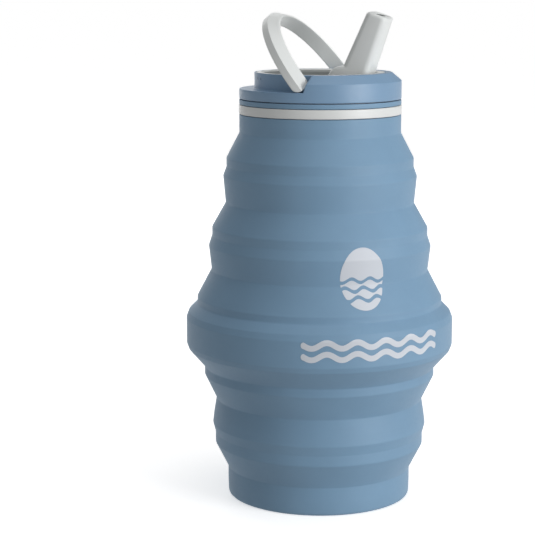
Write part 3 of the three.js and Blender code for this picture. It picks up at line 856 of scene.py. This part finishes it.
def add_boss(bm, middle, segments=40):
    """A short round boss along Y, stepped in at both ends."""
    reach, end_radius = BOSS_LENGTH / 2, BOSS_RADIUS - BOSS_STEP
    end = [(BOSS_RADIUS, reach - BOSS_STEP), (end_radius, reach - BOSS_STEP), (end_radius, reach)]
    outline = [(r, -y) for r, y in reversed(end)] + end
    turns = [2 * math.pi * i / segments for i in range(segments)]
    rows = [[middle + Vector((r * math.cos(t), y, r * math.sin(t))) for t in turns] for r, y in outline]
    made = add_rows(bm, rows)
    bm.faces.new(made[0])
    bm.faces.new(made[-1])


def handle():
    """Built lying flat round the collar, with half-round ends at the pivot, then raised."""
    half, edge = HANDLE_HALF, 0.45
    levels = [math.pi * (i / 28 - 0.5) for i in range(29)]
    outer, inner = [], []
    for t in levels:
        z = half * math.sin(t)
        r_out = NECK_RADIUS if z <= 0 else NECK_RADIUS + (CHAMFER_INNER + 0.3 - NECK_RADIUS) * z / half
        depth = max(0.0, abs(z) - (half - edge))
        pull = edge - math.sqrt(max(0.0, edge ** 2 - depth ** 2))
        low_pull = pull if z < 0 else pull * 0.5
        outer.append((r_out - low_pull, z))
        inner.append((HANDLE_INNER + pull * 0.6, z))
    loop = outer + inner[::-1]
    centre = (NECK_RADIUS + HANDLE_INNER) / 2

    def end_angle(r, z):
        x = HANDLE_PIVOT.x + math.sqrt(max(0.0, half * half - z * z))
        return math.acos(x / r)

    steps, arcs = 120, 5
    rows = []
    for side in (0, 1):
        turns = [math.pi / 2 * i / arcs for i in range(arcs, 0, -1)]
        if side:
            for i in range(steps + 1):
                row = []
                for r, z in loop:
                    start = end_angle(r, z) + edge / r
                    angle = start + (2 * math.pi - 2 * start) * i / steps
                    row.append((r * math.cos(angle), r * math.sin(angle), z))
                rows.append(row)
            turns = turns[::-1]
        for a in turns:
            row = []
            for r, z in loop:
                shrunk = r + math.copysign(edge * (1 - math.cos(a)), centre - r) * (abs(r - centre) > edge)
                angle = end_angle(shrunk, z) + edge * (1 - math.sin(a)) / shrunk
                angle = 2 * math.pi - angle if side else angle
                row.append((shrunk * math.cos(angle), shrunk * math.sin(angle), z))
            rows.append(row)
    bm = bmesh.new()
    made = add_rows(bm, rows)
    last = len(loop) - 1
    for row in (made[0], made[-1]):
        for i in range(len(outer) - 1):
            bm.faces.new((row[i], row[i + 1], row[last - i - 1], row[last - i]))
    for v in bm.verts:
        v.co.z += HANDLE_PIVOT.z
    for side in (-1, 1):
        add_boss(bm, Vector((HANDLE_PIVOT.x, side * BOSS_MIDDLE, HANDLE_PIVOT.z)))
    raised = Matrix.Rotation(HANDLE_RAISED, 4, "Y")
    about_pivot = Matrix.Translation(HANDLE_PIVOT) @ raised @ Matrix.Translation(-HANDLE_PIVOT)
    bmesh.ops.transform(bm, verts=bm.verts, matrix=about_pivot)
    piece = finish_mesh("handle_look", bm, GREY)
    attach(piece, "handle")
    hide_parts("handle")


# ------------------------------------------------------------------ stage


def light(name, kind, energy, location, target, **settings):
    data = bpy.data.lights.new(name, kind)
    data.energy = energy
    for key, value in settings.items():
        setattr(data, key, value)
    obj = bpy.data.objects.new(name, data)
    obj.location = location
    obj.rotation_euler = (Vector(target) - Vector(location)).to_track_quat("-Z", "Y").to_euler()
    bpy.context.scene.collection.objects.link(obj)


FLOOR_HALF = 60000        # half of the floor's side


def studio():
    """A pale floor that throws no light back, a dim surround, and soft light from above, right and behind."""
    bm = bmesh.new()
    bmesh.ops.create_grid(bm, x_segments=4, y_segments=4, size=FLOOR_HALF)
    mesh = bpy.data.meshes.new("floor")
    bm.to_mesh(mesh)
    bm.free()
    mesh.transform(Matrix.Scale(MM, 4))
    paint = bpy.data.materials.new("floor")
    paint.use_nodes = True
    shader = paint.node_tree.nodes["Principled BSDF"]
    shader.inputs["Base Color"].default_value = (0.9, 0.9, 0.9, 1)
    shader.inputs["Roughness"].default_value = 0.7
    shader.inputs["Emission Color"].default_value = (1, 1, 1, 1)
    shader.inputs["Emission Strength"].default_value = 0.53
    mesh.materials.append(paint)
    floor = bpy.data.objects.new("floor", mesh)
    floor.visible_diffuse = False
    bpy.context.scene.collection.objects.link(floor)

    world = bpy.data.worlds.new("studio")
    bpy.context.scene.world = world
    world.use_nodes = True
    surround = world.node_tree.nodes["Background"]
    surround.inputs["Color"].default_value = (1, 1, 1, 1)
    surround.inputs["Strength"].default_value = 0.31

    middle = (0, 0, 0.11)
    light("overhead", "SUN", 0.75, (0.25, -0.1, 1.0), (0, 0, 0), angle=math.radians(60))
    light("key", "AREA", 15.0, (1.32, -0.37, 0.28), middle, size=0.8)
    light("rim", "AREA", 3.2, (-0.75, 1.1, 0.5), middle, size=0.9)


def camera():
    """A long lens a little above the bottle, turned so that the bottle stands right of centre."""
    distance, height = 0.822, 0.247
    azimuth, turned_left, looking_down = math.radians(18), math.radians(1.73), math.radians(9.48)
    data = bpy.data.cameras.new("camera")
    data.sensor_width = 36
    data.lens = 117.3
    obj = bpy.data.objects.new("camera", data)
    obj.location = (distance * math.sin(azimuth), -distance * math.cos(azimuth), height)
    obj.rotation_euler = (math.pi / 2 - looking_down, 0, azimuth + turned_left)
    bpy.context.scene.collection.objects.link(obj)
    bpy.context.scene.camera = obj


for index in range(len(FOLDS)):
    body_piece(index)
prints()
neck_parts()
lid_shell()
vent_holes()
lid_plug()
tray()
spout()
handle()
studio()
camera()
bpy.context.scene.view_settings.view_transform = "Standard"
